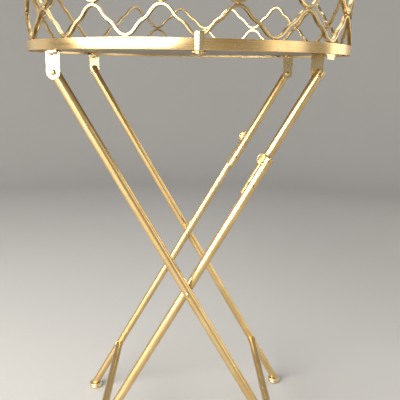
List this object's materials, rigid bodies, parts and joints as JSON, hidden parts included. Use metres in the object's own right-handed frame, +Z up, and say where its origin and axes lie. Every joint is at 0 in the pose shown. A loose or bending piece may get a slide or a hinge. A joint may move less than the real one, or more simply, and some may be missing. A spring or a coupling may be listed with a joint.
{
  "type": "folding tray table",
  "caption": "Round brass tray with a pierced ogee-lattice gallery on two crossed, folding tube frames with riveted joints and disc feet.",
  "frame": {"origin": "on the floor, on the tray's axis, midway between the four feet", "axes": "+Z up along the tray's axis; +X across the crossed legs, towards the links' side; +Y from the front leg pair to the rear pair"},
  "size_m": [0.48, 0.4818, 0.7401],
  "materials": {
    "tube": "satin drawn tube, lacquered pale brass with light streaks and rubbed edges",
    "rim": "satin strip, brushed along its length",
    "lattice": "satin strip with darker edges",
    "panel": "dull rolled sheet",
    "plate": "satin stamped plate",
    "fitting": "satin turned rivets, spacers and feet"
  },
  "bodies": {
    "tray": {"rim_band": "rim", "tray_panel": "panel", "gallery_lower_wave": "lattice", "gallery_upper_wave": "lattice", "rim_joint_clip": "plate", "rim_clip_screw": "fitting", "panel_tab_1": "plate", "panel_tab_2": "plate", "panel_tab_3": "plate", "panel_tab_4": "plate", "panel_tab_5": "plate", "bracket_a_front": "plate", "bracket_a_rear": "plate", "bracket_b_front": "plate", "bracket_b_rear": "plate", "bracket_screw_a_front": "fitting", "bracket_screw_a_rear": "fitting", "bracket_screw_b_front": "fitting", "bracket_screw_b_rear": "fitting", "bracket_spacer_front": "fitting", "bracket_spacer_rear": "fitting", "pivot_rivet_a_front": "fitting", "pivot_rivet_a_rear": "fitting", "pivot_rivet_b_front": "fitting", "pivot_rivet_b_rear": "fitting"},
    "frame_a": {"crossbar_a": "tube", "leg_a_front": "tube", "leg_a_rear": "tube", "foot_a_front": "fitting", "foot_a_rear": "fitting", "cross_rivet_a_front": "fitting", "cross_rivet_a_rear": "fitting", "cross_spacer_front": "fitting", "cross_spacer_rear": "fitting"},
    "links": {"link_front": "tube", "link_rear": "tube"},
    "frame_b": {"crossbar_b": "tube", "leg_b_front": "tube", "leg_b_rear": "tube", "foot_b_front": "fitting", "foot_b_rear": "fitting", "elbow_rivet_front": "fitting", "elbow_rivet_rear": "fitting", "elbow_spacer_front": "fitting", "elbow_spacer_rear": "fitting", "cross_rivet_b_front": "fitting", "cross_rivet_b_rear": "fitting", "stop_plate_front": "plate", "stop_plate_rear": "plate", "stop_rivet_front": "fitting", "stop_rivet_rear": "fitting"}
  },
  "joints": [
    {"name": "legs_fold", "type": "hinge", "parent": "tray", "child": "frame_a", "pos_m": [-0.172, 0, 0.6225], "axis": [0, -1, 0], "range_deg": [0, 52]},
    {"name": "link_swing", "type": "hinge", "parent": "tray", "child": "links", "pos_m": [0.172, 0, 0.6225], "axis": [0, 1, 0], "range_deg": [0, 56]},
    {"name": "elbow", "type": "hinge", "parent": "links", "child": "frame_b", "pos_m": [0.086, 0, 0.47354], "axis": [0, -1, 0], "range_deg": [0, 164]}
  ],
  "couplings": [
    {"joint": "link_swing", "follows": "legs_fold", "ratio": 1.0765},
    {"joint": "elbow", "follows": "legs_fold", "ratio": 3.1531}
  ]
}
